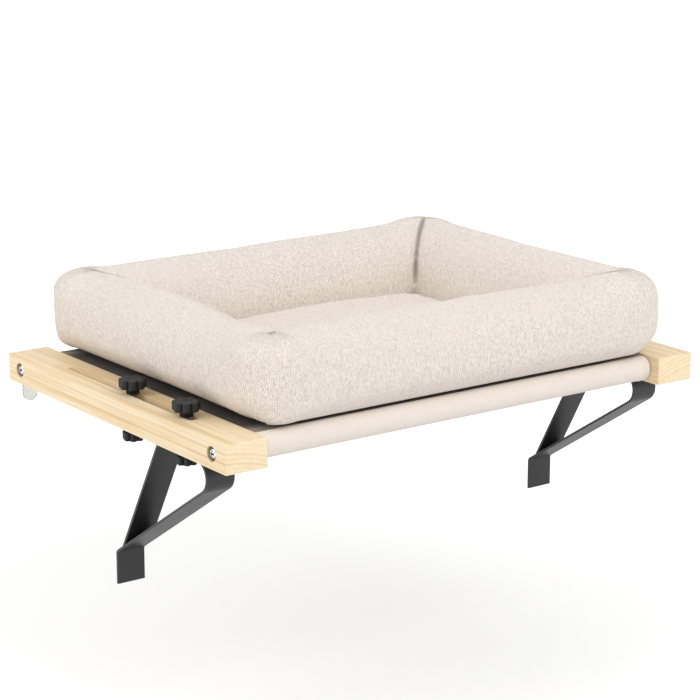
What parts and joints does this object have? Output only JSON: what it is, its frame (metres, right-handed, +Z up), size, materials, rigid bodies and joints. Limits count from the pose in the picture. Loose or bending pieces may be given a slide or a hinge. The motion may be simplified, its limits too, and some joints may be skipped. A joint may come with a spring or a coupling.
{
  "type": "cat radiator bed",
  "caption": "Pet bed for a radiator or sill: bolster bed on a sling between slotted pine rails, with sliding bent-steel brackets clamped by star knobs.",
  "frame": {"origin": "centre of the bounding box in plan, at the level of the brackets' lowest edges", "axes": "+X to the right along the cross tubes, +Y to the back along the rails, +Z up"},
  "size_m": [0.563, 0.409, 0.2715],
  "materials": {
    "pine": "planed and clear sealed",
    "coated_steel": "fine satin powder coat",
    "knob_plastic": "moulded satin nylon",
    "stud_steel": "zinc plated thread",
    "insert_brass": "turned",
    "zinc_screw": "bright zinc plate",
    "tube_steel": "powder coat",
    "plug_nylon": "moulded nylon",
    "sleeve_canvas": "plain weave canvas",
    "sling_mesh": "close woven polyester",
    "bed_boucle": "short looped weave",
    "clear_silicone": "clear moulded silicone"
  },
  "bodies": {
    "root": {"left_rail": "pine", "right_rail": "pine", "left_rail_screws": "zinc_screw", "right_rail_screws": "zinc_screw", "front_tube": "tube_steel", "back_tube": "tube_steel", "front_tube_plugs": "plug_nylon", "back_tube_plugs": "plug_nylon", "front_sleeve": "sleeve_canvas", "back_sleeve": "sleeve_canvas", "sling_panel": "sling_mesh", "left_stop": "clear_silicone", "right_stop": "clear_silicone"},
    "left_bracket": {"left_bracket_strip": "coated_steel", "left_bracket_brace": "coated_steel"},
    "left_front_upper": {"left_front_top_knob": "knob_plastic", "left_front_stud": "stud_steel"},
    "left_front_lower": {"left_front_lower_knob": "knob_plastic", "left_front_insert": "insert_brass"},
    "left_rear_upper": {"left_rear_top_knob": "knob_plastic", "left_rear_stud": "stud_steel"},
    "left_rear_lower": {"left_rear_lower_knob": "knob_plastic", "left_rear_insert": "insert_brass"},
    "right_bracket": {"right_bracket_strip": "coated_steel", "right_bracket_brace": "coated_steel"},
    "right_front_upper": {"right_front_top_knob": "knob_plastic", "right_front_stud": "stud_steel"},
    "right_front_lower": {"right_front_lower_knob": "knob_plastic", "right_front_insert": "insert_brass"},
    "right_rear_upper": {"right_rear_top_knob": "knob_plastic", "right_rear_stud": "stud_steel"},
    "right_rear_lower": {"right_rear_lower_knob": "knob_plastic", "right_rear_insert": "insert_brass"},
    "cushion": {"cushion_bolster": "bed_boucle", "cushion_pad": "bed_boucle"}
  },
  "joints": [
    {"name": "left_bracket_slide", "type": "slide", "parent": "root", "child": "left_bracket", "axis": [0, 1, 0], "range_m": [-0.009, 0.112]},
    {"name": "left_front_upper_turn", "type": "hinge", "parent": "left_bracket", "child": "left_front_upper", "pos_m": [-0.259, -0.1045, 0.2], "axis": [0, 0, 1], "continuous": true},
    {"name": "left_front_lower_turn", "type": "hinge", "parent": "left_bracket", "child": "left_front_lower", "pos_m": [-0.259, -0.1045, 0.15], "axis": [0, 0, 1], "continuous": true},
    {"name": "left_rear_upper_turn", "type": "hinge", "parent": "left_bracket", "child": "left_rear_upper", "pos_m": [-0.259, -0.0095, 0.2], "axis": [0, 0, 1], "continuous": true},
    {"name": "left_rear_lower_turn", "type": "hinge", "parent": "left_bracket", "child": "left_rear_lower", "pos_m": [-0.259, -0.0095, 0.15], "axis": [0, 0, 1], "continuous": true},
    {"name": "right_bracket_slide", "type": "slide", "parent": "root", "child": "right_bracket", "axis": [0, 1, 0], "range_m": [-0.009, 0.112]},
    {"name": "right_front_upper_turn", "type": "hinge", "parent": "right_bracket", "child": "right_front_upper", "pos_m": [0.259, -0.1045, 0.2], "axis": [0, 0, 1], "continuous": true},
    {"name": "right_front_lower_turn", "type": "hinge", "parent": "right_bracket", "child": "right_front_lower", "pos_m": [0.259, -0.1045, 0.15], "axis": [0, 0, 1], "continuous": true},
    {"name": "right_rear_upper_turn", "type": "hinge", "parent": "right_bracket", "child": "right_rear_upper", "pos_m": [0.259, -0.0095, 0.2], "axis": [0, 0, 1], "continuous": true},
    {"name": "right_rear_lower_turn", "type": "hinge", "parent": "right_bracket", "child": "right_rear_lower", "pos_m": [0.259, -0.0095, 0.15], "axis": [0, 0, 1], "continuous": true},
    {"name": "cushion_lift", "type": "slide", "parent": "root", "child": "cushion", "axis": [0, 0, 1], "range_m": [0, 0.15]}
  ]
}
